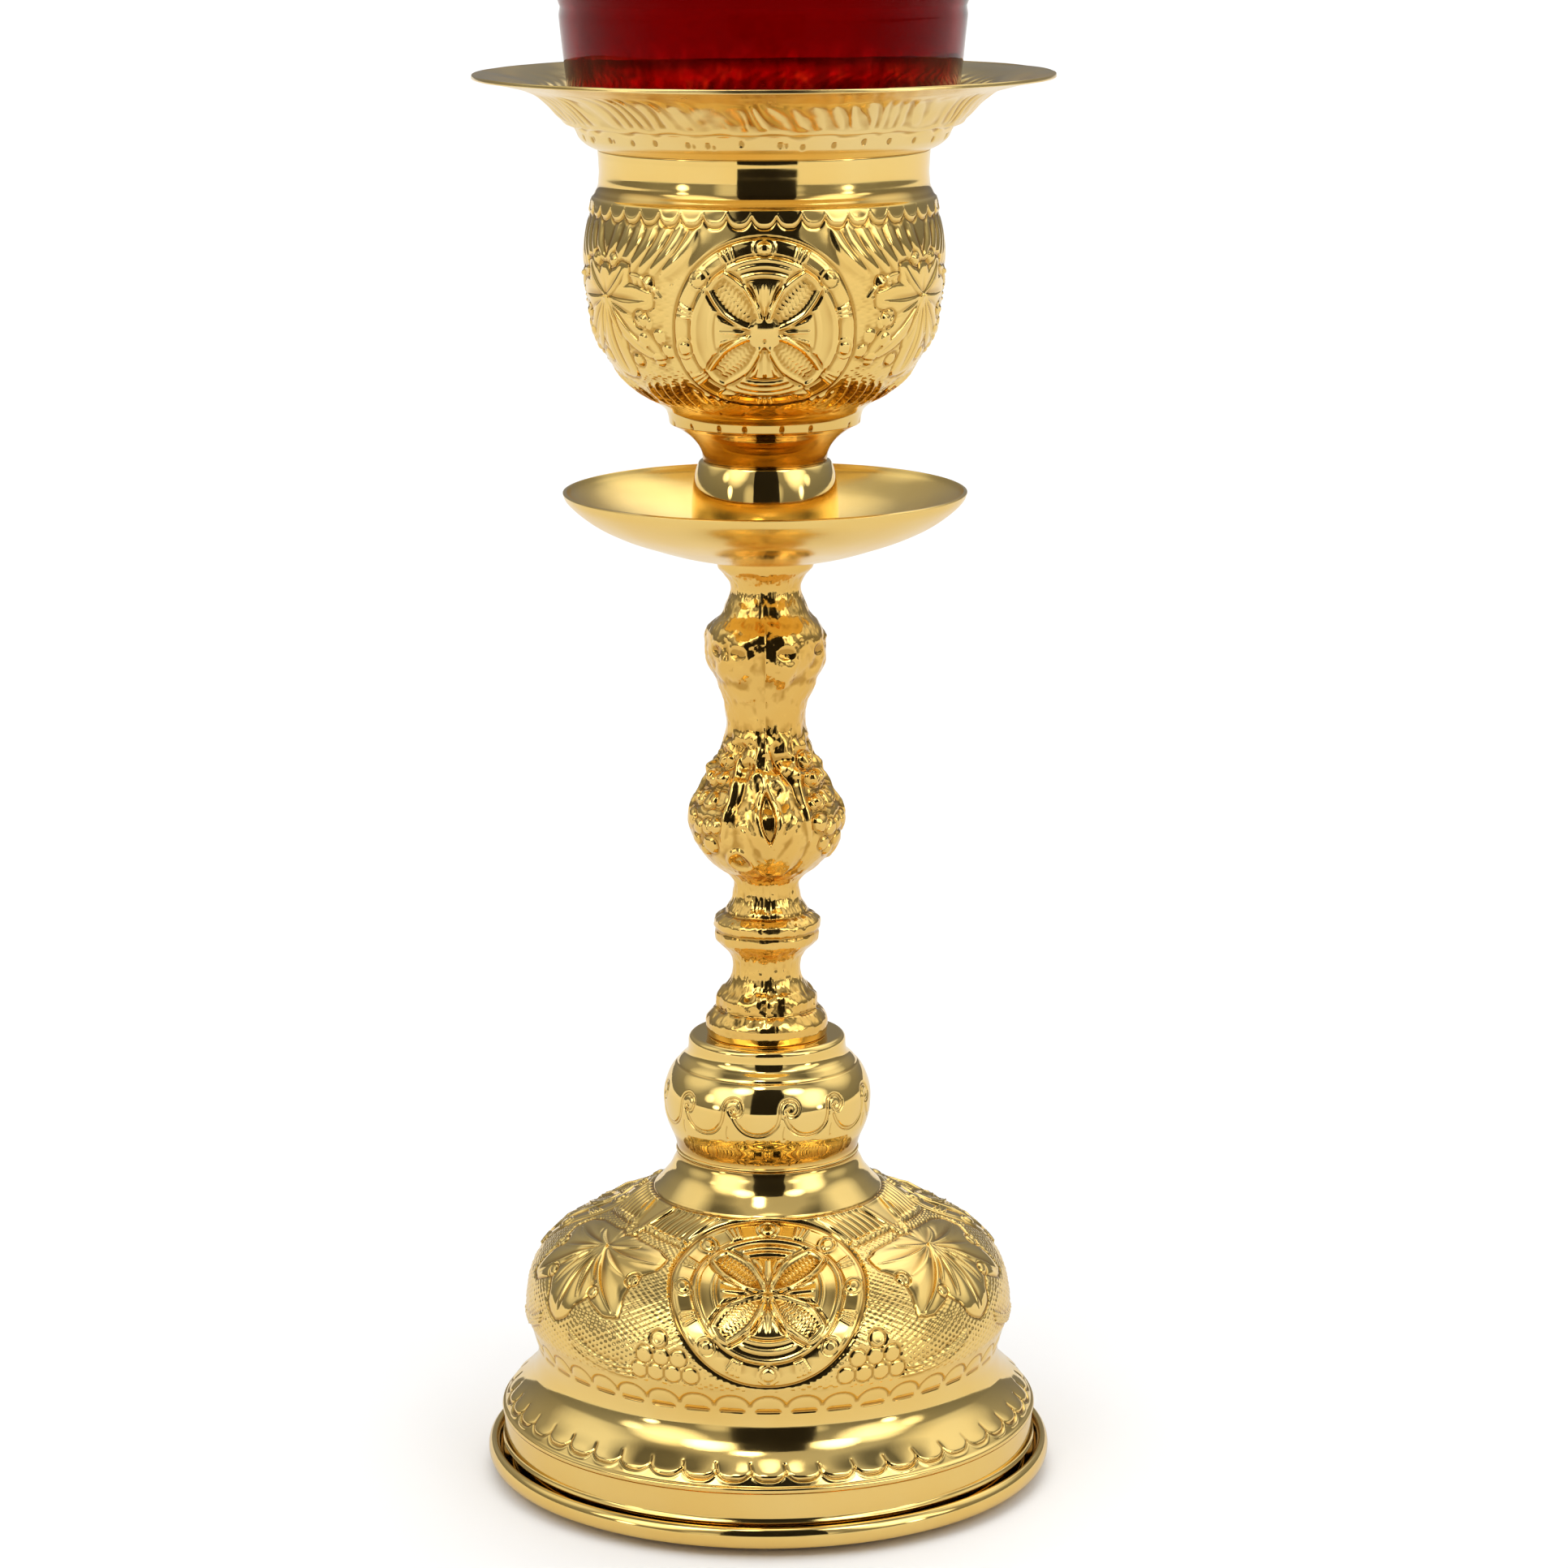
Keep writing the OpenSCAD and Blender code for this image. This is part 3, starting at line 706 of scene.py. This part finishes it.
def make_bowl():
    columns = 960
    rows, last, relief = prepared("bowl", columns, 167.9, fine=(169.5, 206.5, 0.21))
    a, degrees, field = relief.along, relief.degrees, relief.height

    # rough ground between the border and the foot
    zone = between(a, 3, 30.5, 3, 4)
    field += zone * 0.05 * value_noise(degrees, a, 2.5, 1.1, 21)
    field += zone * 0.035 * np.sin(np.radians(degrees) * 72 + 2 * np.sin(a * 2.1)) * np.sin(a * 7.5)

    # border with swags: each dips between two points
    swag = 360 / 45
    low = relief.band(34.5, 40)
    x, y = relief.local(low, (0, 37.0), swag)
    above = y - 1.5 * np.clip(abs(x) / (math.radians(swag / 2) * relief.radius[low]), 0, 1) ** 3
    field[low] += 0.20 * step_up(above + 0.2, 0.6) * step_up(39.6 - relief.along[low], 0.5)
    field[low] += 0.12 * bell(above - 0.25, 0.4) - 0.20 * bell(above + 0.45, 0.42)

    for side in (-1, 1):
        # slanting flutes under the border
        for k in range(7):
            top = LEAF - side * (38 - 5.3 * k)
            foot = top + side * (11.5 - 0.8 * k)
            middle, low = (top + foot) / 2, 29.2 + 0.1 * k
            relief.line([(top, 36.3), (middle - side * 2.6, 32.6), (foot, low)], 1.75, 0.34, taper=True)
            relief.line([(top + side * 2.7, 36.2), (middle + side * 0.2, 32.6), (foot + side * 2.3, low + 0.3)],
                        0.55, -0.12, taper=True)
        # hatched bud that leans away from the medallion
        bud = relief.band(23, 32)
        x, y = relief.local(bud, (side * 42.7, 27.3))
        x, y = x * 0.945 + side * y * 0.326, y * 0.945 - side * x * 0.326
        lens = 1.45 * (1 - (x / 4.3) ** 2) - abs(y)
        field[bud] *= step_up(-lens - 0.3, 0.6)
        field[bud] += 0.36 * bell(lens, 0.40) + 0.10 * step_up(lens, 0.5)
        field[bud] += 0.09 * np.sin(5.2 * x + 2 * y) * step_up(lens - 0.45, 0.3)

    leaf(relief, (LEAF, 25.5), 17,
         [(0, 13.5), (10, 12.8), (20, 8.6), (28, 7.2), (40, 12.2), (50, 13.8), (60, 11), (70, 6.8), (84, 10.2),
          (96, 10.6), (110, 6.2), (128, 7.6), (140, 7.2), (155, 4), (180, 5)],
         [(0, 12.4), (22, 6.5), (46, 12), (66, 6.6), (88, 9.4), (132, 6.6)], scallop=0.35)
    for side in (-1, 1):
        for across, along, size in ((16.8, 22.6, 1.15), (5.0, 31.0, 0.9), (10.5, 15.6, 1.0), (21, 28.2, 0.8)):
            relief.boss((LEAF - side * across, along), size, 0.36)
            relief.ring((LEAF - side * across, along), size + 0.3, 0.32, -0.16)
        for across, along in ((26, 17.6), (21.5, 16.2), (23.7, 20), (17, 19.2), (19, 22)):
            relief.boss((LEAF - side * across, along), 1.15, 0.36)
    # claws, and fronds with a groove beside each, that rise from the foot
    for k in range(4):
        foot = 43.5 - 3.4 * k
        relief.pairs(LEAF, [([(foot, 7.2), (foot - 0.6, 9.2), (foot - 1.2 - 0.3 * k, 11.4 - 0.3 * k)],
                             0.75, 0.30, True)])
    for k in range(5):
        foot, top = 28 - 5.6 * k, 12.6 - 0.4 * k
        relief.pairs(LEAF, [([(foot, 5.4), (foot - 2.6, 8.8), (foot - 0.5 + 0.7 * k, top)], 1.15, 0.38, True),
                            ([(foot - 2.0, 5.8), (foot - 4.2, 8.6), (foot - 2.4 + 0.7 * k, top - 0.8)],
                             0.5, -0.22, True)])

    medallion(relief, (0, 21.2), 13.6, 10.7, 14, hollow=0.0, studded=0.8, tall=1.06)
    hub = relief.band(17, 25)
    field[hub] *= step_up(np.hypot(*relief.local(hub, (0, 21.0))) - 1.9, 0.7)
    relief.boss((0, 21.0), 2.6, 0.55)
    relief.boss((0, 20.0), 0.45, -0.2)

    full = 0.92 * relief.around()
    every = all_round(columns)
    full *= 1 + 0.22 * value_noise(every, a, 8, 4, 23)
    full += zone * 0.06 * value_noise(every, a, 13, 5, 25)
    full *= step_up(a - 2.2, 1.6)
    # nicks in the edge of the foot
    nick = np.zeros_like(full)
    for place in (-28, -12, 10, 28, 61, 80, 104, 131, 150, 172, 196, 222, 240, 268, 290, 311):
        nick = np.maximum(nick, bell((every - place + 180) % 360 - 180, 2.4))
    full -= 0.30 * bell(a - 0.1, 0.7) * nick
    # the shoulder runs into the plain neck in one soft curve
    full += 0.06 * bell(a - 44.2, 1.5) - 0.20 * bell(a - 41.0, 1.8) - 0.05 * bell(a - 39.9, 0.6)
    full += 0.035 * step_up(a - 41, 1) * value_noise(every, a, 26, 3.5, 26)
    # painted shade on the bowl's foot, which stands in the shade between the bowl and the tray: darkest below the
    # relief's start, fading out 4 mm above it
    relief_piece("embossed_bowl", "bowl", rows, last, columns, full, stamped,
                 darkened=0.85 * step_up(-1 - a, 1.5) + 0.3 * step_up(4 - a, 4))


# ---- flared rim

def make_rim():
    columns = 1080
    rows, last, relief = prepared("flared_rim", columns, 209.8, fine=(209.4, 230, 0.20),
                                  start=(25.3, 209.6), period=360)
    a, degrees, field = relief.along, relief.degrees, relief.height

    def wander(cell, seed):
        """Noise that changes round the rim and not along its outline."""
        return value_noise(degrees, a * 0, cell, 50, seed)

    # the flutes lean, wander and vary in width round the rim
    drift = degrees + 3.2 * wander(14, 31) + 1.2 * value_noise(degrees, a, 5, 6, 38)
    flare = between(a, 6.6, 14.6 + 0.8 * wander(7, 32), 1.3, 2.4)
    lean = 0.75 * np.clip(a - 7, 0, 9) ** 1.2 / 1.4
    wave = np.sin(np.radians(drift + lean) * 78)
    field += 0.085 * flare * (1 + 0.75 * wander(7, 33)) * (np.sign(wave) * abs(wave) ** 0.7)
    field += 0.07 * between(a, 5, 17, 2, 2) * value_noise(degrees, a, 4, 2, 34)
    # scalloped line where the flare leaves the band
    edge = 5.9 + 0.32 * np.sin(np.radians(drift) * 27) + 0.22 * wander(5, 35)
    field += 0.16 * bell(a - edge - 0.3, 0.8) - 0.30 * bell(a - edge + 0.8, 0.75)
    # punched dots round the band, some of them in pairs
    rng = np.random.default_rng(36)
    place = -180.0
    while place < 178:
        relief.boss((place, 3.4 + 0.35 * rng.uniform(-1, 1)), 0.55, -0.24, flatten=1.2)
        if rng.random() < 0.3:
            relief.boss((place + 1.8, 3.4 + 0.35 * rng.uniform(-1, 1)), 0.42, -0.18, flatten=1.2)
        place += 6.0 + 6.0 * rng.random()
    # the plain lip is not quite true
    field += 0.10 * step_up(a - 14, 4) * value_noise(degrees, a, 17, 8, 37)
    field *= step_up(a - 1.2, 1.0)
    height = np.zeros((len(rows), columns))
    height[:last] = field
    # the sheet is thin, so its inner face takes the same relief in reverse
    inner_along = np.interp(rows[last:, 0], relief.radius[:, 0], a[:, 0])
    index = np.clip(np.searchsorted(a[:, 0], inner_along), 0, last - 1)
    height[last:] = -field[index] * (rows[last:, 1:] > 210.6)
    # the groove attribute paints shade into the hollows of the flutes and dots
    turned("flared_rim_sheet", rows, columns, height, "stand", "flared_rim", satin,
           groove=groove_of(height, 3))


# ---- knop

def make_knop():
    columns = 1080
    rows, last, relief = prepared("knop", columns, 52, fine=(56.5, 66.5, 0.115), period=360)
    a = relief.along
    rng = np.random.default_rng(41)
    # one wave of the engraved scroll, in mm from the middle of its curl
    curl = np.array([(-8.9, -1.3), (-8.2, -2.7), (-6.9, -3.9), (-5.1, -4.35), (-3.3, -3.9), (-2.1, -2.7),
                     (-1.6, -1.2), (-1.45, 0.1), (-1.0, 1.05), (0, 1.45), (1.0, 1.05), (1.4, 0.05),
                     (0.95, -0.9), (0.05, -1.05), (-0.45, -0.4)])
    for head in (12.5, 41, 71, 101, 131, 161, -170, -140, -110, -80, -50, -19.5):
        jitter = rng.uniform(-0.3, 0.3, 4)
        centre = 10.4 + jitter[0]
        path = spline(curl * (1 + 0.05 * jitter[1], 1 + 0.12 * jitter[2]), 0.35)
        turn = np.degrees(path[:, 0] / np.interp(centre + path[:, 1], a[:, 0], relief.radius[:, 0]))
        relief.line(np.c_[turn + head, path[:, 1] + centre], 0.28, -0.17, gap=0.40)
        relief.boss((head + 0.3, centre - 0.1), 0.5, -0.14)
        relief.line([(head - 3.2, centre - 3.0), (head - 4.4, centre - 4.2), (head - 3.6, centre - 5.0)],
                    0.28, -0.10)
    relief.height -= 0.10 * bell(a - 14.9, 0.45)
    relief.height += 0.03 * value_noise(relief.degrees, a, 15, 5, 42)
    # the lowest part is a cylinder that turns out sharply to the ball
    relief.height += np.interp(a, [-0.6, 0, 0.8, 1.6, 2.6, 3.6, 4.8, 6],
                               [-0.34, -0.36, -0.46, -0.50, -0.40, -0.22, -0.06, 0])
    relief_piece("spun_knop", "knop", rows, last, columns, relief.height, engraved)


# ---- cast stem

def make_stem():
    columns = 540
    rows, last, relief = prepared("stem", columns, 70.8, fine=(71, 146.5, 0.22), start=(9.4, 70.7), rounding=0.16)
    a, degrees = relief.along, relief.degrees
    field = relief.height

    def patch(low, high, soft=2.0):
        return between(a, low, high, soft, soft)

    # upright leaf on the lower bulb
    turn = (degrees + SECTOR / 2) % SECTOR - SECTOR / 2
    half = np.interp(a, [30, 34, 38, 44, 48, 52, 56], [8, 21, 27, 26, 22, 13, 5])
    centre = np.interp(a, [30, 38, 47, 56], [8, 5, 3, -6])
    across = (turn - centre) / half
    body = step_up(1 - abs(across), 0.35)
    field += 0.48 * body * patch(31, 55) * (1 - 0.6 * across ** 2)
    field -= 0.16 * bell(abs(across) - 1.08, 0.16) * patch(32, 53)
    # its halves stand apart over a smooth hollow
    slit = (turn - np.interp(a, [38, 44, 50], [3.5, 1, -1.5])) * 0.19
    gap = 1.25 * np.clip(1 - ((a - 43) / 4.4) ** 2, 0, 1) - abs(slit)
    field += 0.25 * bell(gap + 0.5, 0.7) * patch(37, 50, 3) - 0.70 * step_up(gap, 0.3)
    for k in range(5):
        base = 36 + 3.4 * k
        relief.pairs(3, [([(4, base), (12, base + 2.2), (19, base + 5.2)], 0.9, -0.15, True)])
    # clusters of berries between the leaves
    berries = [(52, 37.5), (62, 36.8), (71, 38.2), (46, 41), (57, 41), (68, 41.2), (79, 41.6), (42, 44.6),
               (52, 45), (63, 44.8), (74, 45), (47, 48.4), (58, 48.8), (70, 48.6), (54, 52), (66, 51.8)]
    rng = np.random.default_rng(58)
    for place in berries:
        spot = (place[0] + rng.uniform(-2.5, 2.5), place[1] + rng.uniform(-0.6, 0.6))
        size = rng.uniform(1.1, 1.75)
        relief.boss(spot, size, rng.uniform(0.35, 0.75), flatten=rng.uniform(0.8, 1.1))
        relief.ring(spot, size, 0.45, -0.14)
    # tendrils beside the berries, and a curled leaf beside the leaf's foot
    relief.pairs(LEAF, [([(24, 52.5), (29, 46), (25, 39)], 1.2, 0.6, True)])
    relief.ring((-22, 35.5), 1.9, 0.9, 0.5)
    # crumpled foliage above the bulb
    crumple = patch(47, 57.5, 3)
    field += crumple * 0.55 * value_noise(degrees, a, 12, 1.5, 51)
    field += crumple * 0.17 * value_noise(degrees, a, 7.5, 0.9, 52)
    # scrolls on the upper bulb
    for place in (-25, 22, 66):
        relief.line([(place - 16, 66.5), (place - 4, 64.4), (place + 9, 68.5)], 2.1, 0.40, taper=True)
        relief.line([(place + 10, 68.5), (place + 4, 72.0), (place - 9, 70.5)], 2.1, 0.38, taper=True)
        relief.boss((place - 2, 69.8), 1.5, -0.45, flatten=0.7)
    field += patch(62, 75, 3) * 0.42 * value_noise(degrees, a, 19, 2.6, 53)
    field += patch(52, 66, 3) * 0.20 * value_noise(degrees, a, 17, 2.4, 59)
    # turned rings below, left rough by the casting
    field += patch(4, 9, 1) * 0.28 * value_noise(degrees, a, 12, 1.6, 54)
    field -= 0.30 * (bell(a - 19.0, 0.7) + bell(a - 22.6, 0.7)) + 0.22 * bell(a - 4.9, 0.6)
    field += 0.2 * (bell(a - 20.6, 1.0) + bell(a - 17.4, 1.0))
    # the ornament of the lower bulb and the neck above it stands on a slimmer core
    field -= 0.38 * patch(42, 60, 4)

    full = relief.around()
    every = all_round(columns)
    bumpy = between(a, 0.5, 84, 2, 1)
    full += bumpy * (0.16 * value_noise(every, a, 22, 4.2, 55) + 0.075 * value_noise(every, a, 7.5, 1.3, 56)
                     + 0.03 * value_noise(every, a, 3, 0.55, 57))
    relief_piece("cast_stem", "stem", rows, last, columns, full, cast)


# ---- plain spun and turned pieces, glass, wick

def make_plain(name, cad, material, pitch=0.7, columns=384, wobble=0.02):
    """A smooth turned piece, redrawn from its CAD outline, with the slight unevenness of hand polishing."""
    rows = rows_along(smoothed(outline(cad), rounding=0.13), lambda z, r: 0 * z + pitch)
    rows[:, 1] = np.maximum(rows[:, 1], 0)
    # always inward, so that the piece keeps to its CAD size, and none underneath, where it stands
    height = wobble * (value_noise(all_round(columns), distance_along(rows)[:, None], 24, 7, 61) - 1)
    height *= step_up(rows[:, 1:] - 0.4, 1)
    turned(name, rows, columns, height, "stand", cad, material, closed=rows[0, 0] > AT_AXIS)


def make_glass():
    """Pressed glass: shallow flutes round the shoulder of the cup, and slightly wavy walls."""
    columns = 576
    rows = rows_along(smoothed(outline("glass_cup")), lambda z, r: np.where(z < 222, 0.4, 1.2))
    angle, run, level = all_round(columns), distance_along(rows)[:, None], rows[:, 1:]
    outside = np.arange(len(rows))[:, None] < rows[:, 1].argmax()
    flutes = between(level, 211.2, 219.5, 2.0, 4.0) * outside
    height = -0.28 * flutes * abs(np.sin(np.radians(angle) * 24)) + 0.05 * value_noise(angle, run, 24, 7, 71)
    height -= 0.35 * bell(level - 231.0, 1.3) * outside
    turned("ruby_cup", rows, columns, height, "glass", "glass_cup", ruby_glass(), closed=False)


def make_wick():
    """Braided cotton: two sets of strands that cross over and under each other."""
    columns = 96
    rows = rows_along(smoothed(outline("wick"), rounding=0.2), lambda z, r: 0 * z + 0.15)
    angle, level = np.radians(all_round(columns)), rows[:, 1:]
    left, right = np.sin(4 * angle + 2.6 * level), np.sin(4 * angle - 2.6 * level)
    height = 0.16 * (np.maximum(left, right) - 1) * step_up(rows[:, :1], 0.8)
    turned("braided_wick", rows, columns, height, "wick_holder", "wick", cotton(), closed=False)


make_dome()
make_bowl()
make_rim()
make_knop()
make_stem()
make_plain("spun_tray", "drip_tray", brushed, wobble=0.035)
make_plain("turned_spacer", "barrel_spacer", polished)
make_plain("rolled_plate", "base_plate", polished, wobble=0.03)
make_glass()
make_plain("cast_ballast", "ballast_ring", cast_iron(), pitch=1.5, columns=192, wobble=0.12)
make_wick()
for name in ("tie_rod", "base_washer", "base_spring_washer", "base_nut", "bowl_washer", "bowl_nut"):
    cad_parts[name].material_slots[0].material = zinc
for name in ("wick_holder", "wick_tube"):
    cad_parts[name].material_slots[0].material = tin


# ---- setting, light and camera

FLOOR_REACH = 40  # this and the next three lines are in metres
TENT_RADIUS, TENT_HEIGHT = 6, 9
CARD_LEFT, CARD_RIGHT, CARD_FRONT, CARD_LOW, CARD_HIGH = -0.24, 0.30, -0.72, 0.045, 1.1
EYE_FRONT, EYE_HEIGHT = -0.7014, 0.2604
TENT_SIDES = 60
EYE_DOWN, EYE_ROLL = 12.04, -0.2  # degrees that the camera looks down and leans
# soft lights as (azimuth, elevation, spread, strength), where a negative strength is a darker patch of the tent
SOFT_LIGHTS = (
    (-52, 30, 22, 1.7), (55, 26, 21, 1.9), (-104, 35, 24, 0.5), (108, 38, 26, 0.6), (165, 55, 32, 1.1),
    (20, 8, 10, 0.5), (-24, 4, 12, 0.5), (-34, 46, 12, 4.0), (38, 44, 11, 4.0), (8, 80, 9, 2.0),
    (-70, 18, 7, 1.5), (74, 14, 7, 1.5), (-14, 60, 6, 7.0), (60, 6, 5, 4.0), (-58, 6, 5, 4.0),
    (-84, 62, 19, -0.36), (92, 62, 19, -0.36), (180, 30, 24, -0.10))


def stage_piece(name, spots, faces, material, unseen_by):
    """A piece of the setting, which the named kinds of ray pass through."""
    mesh = bpy.data.meshes.new(name)
    mesh.from_pydata(spots, [], faces)
    mesh.materials.append(material)
    piece = link(name, mesh)
    for ray in unseen_by:
        setattr(piece, "visible_" + ray, False)


def wide_floor(name, level, material, unseen_by):
    corners = [(x * FLOOR_REACH, y * FLOOR_REACH, level) for x, y in ((-1, -1), (1, -1), (1, 1), (-1, 1))]
    stage_piece(name, corners, [(0, 1, 2, 3)], material, unseen_by)


paper = principled("floor_paper", Base_Color=(0.86, 0.86, 0.86, 1), Roughness=0.9)[0]
wide_floor("floor", -0.0004, paper, ["glossy"])

# a white wall all round, for the camera only
pale = principled("pale_backdrop", Base_Color=(0, 0, 0, 1), Emission_Color=(1, 1, 1, 1), Emission_Strength=1.0)[0]
turns = [math.radians(360 / TENT_SIDES * k) for k in range(TENT_SIDES)]
corners = [(TENT_RADIUS * math.cos(a), TENT_RADIUS * math.sin(a), z) for z in (-0.01, TENT_HEIGHT) for a in turns]
walls = [(k, (k + 1) % TENT_SIDES, TENT_SIDES + (k + 1) % TENT_SIDES, TENT_SIDES + k) for k in range(TENT_SIDES)]
stage_piece("backdrop", corners, walls, pale, ["glossy", "diffuse", "shadow"])

# what the metal mirrors of the floor is a darker copy of it, painted shade as on a tabletop in a room
shade, tree, bsdf = principled("shaded_floor", Roughness=1.0)
away = node(tree, "ShaderNodeVectorMath", own_space(tree), operation="LENGTH").outputs["Value"]
vary(tree, bsdf, "Base Color", away, (0.67, 0.645, 0.61), (0.72, 0.70, 0.67), 0.35, 1.0)
wide_floor("floor_in_reflections", -0.0002, shade, ["camera", "diffuse", "transmission", "shadow"])

world = bpy.data.worlds.new("studio")
scene.world = world
world.use_nodes = True
sky = world.node_tree
direction = node(sky, "ShaderNodeTexCoord").outputs["Generated"]


def soft_light(azimuth, elevation, spread, strength):
    """A round soft light at a direction, spread degrees across. Azimuth 0 is in front, 90 to the right."""
    a, e = math.radians(azimuth), math.radians(elevation)
    aim = node(sky, "ShaderNodeVectorMath", direction, operation="DOT_PRODUCT")
    aim.inputs[1].default_value = (math.sin(a) * math.cos(e), -math.cos(a) * math.cos(e), math.sin(e))
    return ramp(sky, aim.outputs["Value"], 0.0, strength, math.cos(math.radians(spread)),
                math.cos(math.radians(0.35 * spread)))


# a pale tent, brighter overhead, with the soft lights on top
upward = node(sky, "ShaderNodeSeparateXYZ", direction).outputs["Z"]
total = ramp(sky, upward, 0.20, 0.54, 0.0, 0.95)
for light in SOFT_LIGHTS:
    total = node(sky, "ShaderNodeMath", total, soft_light(*light), operation="ADD").outputs[0]
sky.links.new(total, sky.nodes["Background"].inputs["Strength"])
sky.nodes["Background"].inputs["Color"].default_value = (1, 1, 1, 1)

# light that reaches the floor and not the metal
overhead = bpy.data.lights.new("overhead", "SUN")
overhead.energy = 1.2
overhead.angle = math.radians(100)
fill = bpy.data.objects.new("overhead", overhead)
fill.visible_glossy = False
scene.collection.objects.link(fill)

# the camera stands in a dark opening of the tent: its reflection runs down the metal
black = principled("black_card", Base_Color=(0.004, 0.002, 0.001, 1), Roughness=0.9)[0]
corners = [(x, CARD_FRONT, z) for x, z in ((CARD_LEFT, CARD_LOW), (CARD_RIGHT, CARD_LOW),
                                           (CARD_RIGHT, CARD_HIGH), (CARD_LEFT, CARD_HIGH))]
stage_piece("dark_opening", corners, [(0, 1, 2, 3)], black, ["camera", "shadow", "diffuse"])

eye = bpy.data.cameras.new("camera")
eye.sensor_width = 36
eye.lens = 105.25
eye.shift_x = 0.0114
eye.clip_start = 0.02
camera = bpy.data.objects.new("camera", eye)
camera.location = (0, EYE_FRONT, EYE_HEIGHT)
camera.rotation_euler = (Matrix.Rotation(math.radians(90 - EYE_DOWN), 3, "X")
                         @ Matrix.Rotation(math.radians(EYE_ROLL), 3, "Z")).to_euler()
scene.collection.objects.link(camera)
scene.camera = camera
scene.view_settings.view_transform = "Standard"
